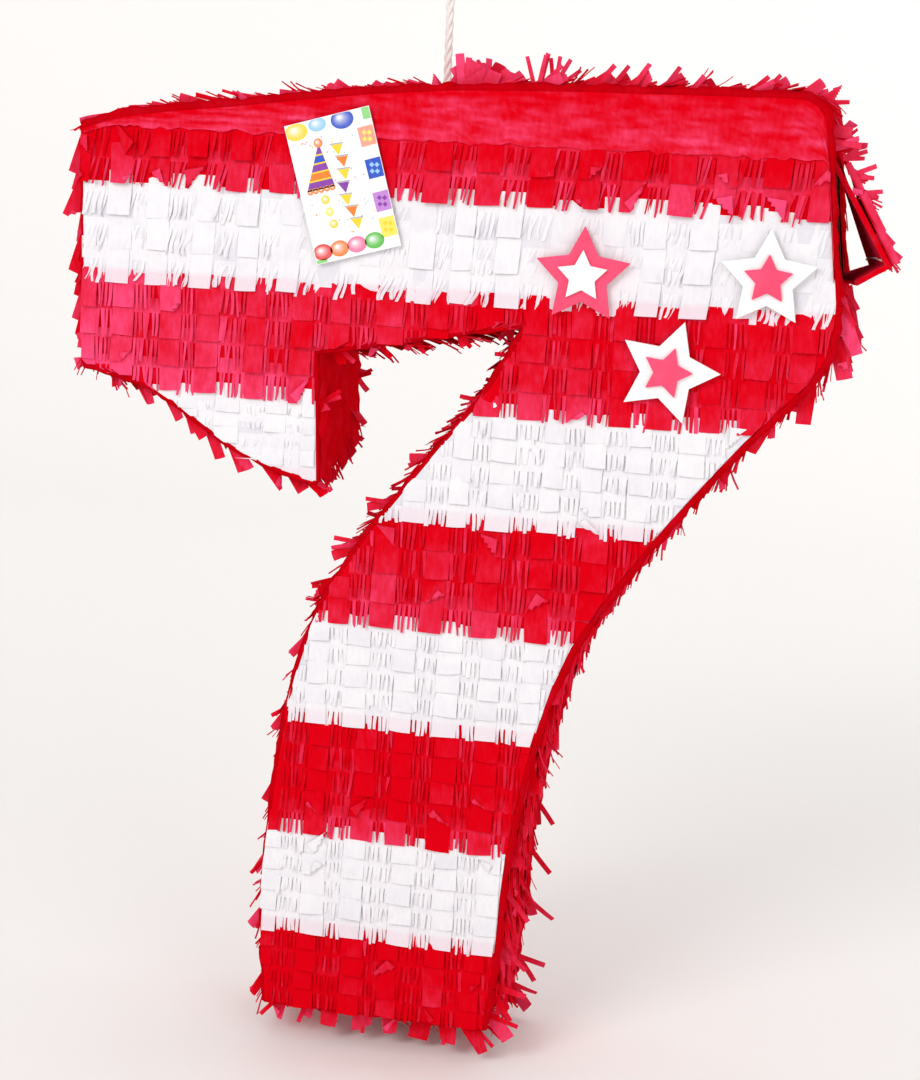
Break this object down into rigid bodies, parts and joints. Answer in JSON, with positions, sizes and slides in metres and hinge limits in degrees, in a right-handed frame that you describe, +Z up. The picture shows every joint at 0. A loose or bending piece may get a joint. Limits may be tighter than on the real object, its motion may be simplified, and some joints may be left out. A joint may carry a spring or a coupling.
{
  "type": "pinata",
  "caption": "Flat card pinata in the shape of a figure seven, striped with tissue fringe, with stars, a tag, a fill flap and a cord to hang it by.",
  "frame": {"origin": "where a hook bears inside the loop at the top of the cord, at the middle of the depth", "axes": "+Z up along the taut cord, +X to the right as the front is read, -Y out of the decorated front"},
  "size_m": [0.4923, 0.1046, 0.6843],
  "materials": {
    "card": "uncoated kraft board",
    "red_tissue": "thin matt tissue paper, cut into fringe",
    "white_tissue": "thin matt tissue paper, cut into fringe",
    "red_foam": "smooth craft foam",
    "white_foam": "smooth craft foam",
    "cotton_cord": "twisted white cotton",
    "tag_card": "coated printed card"
  },
  "bodies": {
    "body": {"back_fringe_1": "red_tissue", "back_fringe_2": "white_tissue", "back_fringe_3": "red_tissue", "back_fringe_4_leg": "white_tissue", "back_fringe_4_lip": "white_tissue", "back_fringe_5": "red_tissue", "back_fringe_6": "white_tissue", "back_fringe_7": "red_tissue", "back_fringe_8": "white_tissue", "back_fringe_9": "red_tissue", "back_panel": "card", "base_fringe": "red_tissue", "base_wall": "card", "cord_anchor": "card", "cord_loop": "cotton_cord", "front_fringe_1": "red_tissue", "front_fringe_2": "white_tissue", "front_fringe_3": "red_tissue", "front_fringe_4_leg": "white_tissue", "front_fringe_4_lip": "white_tissue", "front_fringe_5": "red_tissue", "front_fringe_6": "white_tissue", "front_fringe_7": "red_tissue", "front_fringe_8": "white_tissue", "front_fringe_9": "red_tissue", "front_panel": "card", "hanging_cord": "cotton_cord", "inner_knot": "cotton_cord", "inner_leg_fringe": "red_tissue", "inner_leg_wall": "card", "left_fringe": "red_tissue", "left_wall": "card", "lip_bottom_fringe": "red_tissue", "lip_bottom_wall": "card", "lip_inner_fringe": "red_tissue", "lip_inner_wall": "card", "loop_knot": "cotton_cord", "outer_leg_fringe": "red_tissue", "outer_leg_wall": "card", "right_fringe": "red_tissue", "right_wall": "card", "star_left_base": "red_foam", "star_left_top": "white_foam", "star_low_base": "white_foam", "star_low_top": "red_foam", "star_right_base": "white_foam", "star_right_top": "red_foam", "tag_card": "tag_card", "top_fringe": "red_tissue", "top_wall": "card", "underbar_fringe": "red_tissue", "underbar_wall": "card"},
    "flap": {"fill_flap": "card", "flap_tissue": "red_tissue"}
  },
  "joints": [
    {"name": "flap_fold", "type": "hinge", "parent": "body", "child": "flap", "pos_m": [0.23144, 0, -0.12091], "axis": [0, -1, 0], "range_deg": [-20, 80]}
  ]
}
